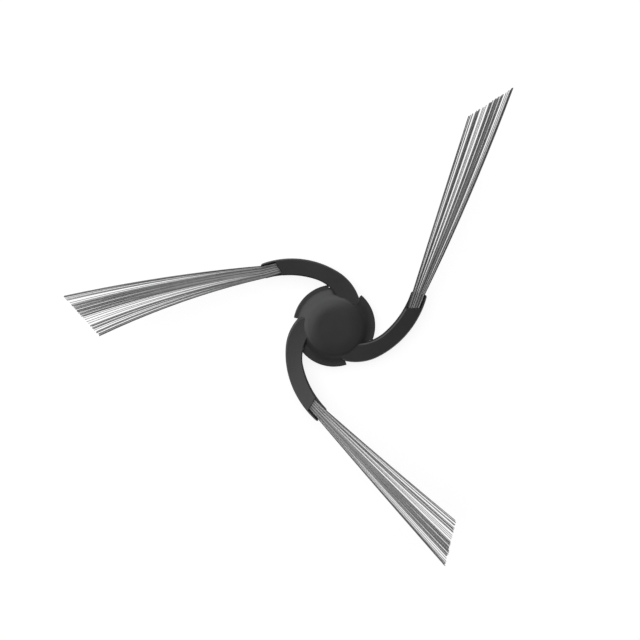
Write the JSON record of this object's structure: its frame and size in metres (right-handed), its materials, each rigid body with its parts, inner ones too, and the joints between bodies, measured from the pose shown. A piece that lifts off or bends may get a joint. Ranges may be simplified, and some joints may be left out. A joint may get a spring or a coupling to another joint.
{
  "type": "robot vacuum side brush",
  "caption": "Side brush for a robot vacuum: a small domed hub with curved, rising arms that end in fans of stiff nylon filaments, swept round like a pinwheel.",
  "frame": {"origin": "on the hub's axis, in the plane of the skirt's underside, at the mouth of the drive socket", "axes": "+Z along the hub's axis towards the dome; seen from +Z the arms sweep round counter-clockwise"},
  "size_m": [0.1209, 0.1343, 0.0186],
  "materials": {
    "body_plastic": "satin moulded",
    "bristle_nylon": "drawn nylon"
  },
  "bodies": {
    "root": {"brush_body": "body_plastic", "bristle_tuft_1": "bristle_nylon", "bristle_tuft_2": "bristle_nylon", "bristle_tuft_3": "bristle_nylon"}
  },
  "joints": []
}
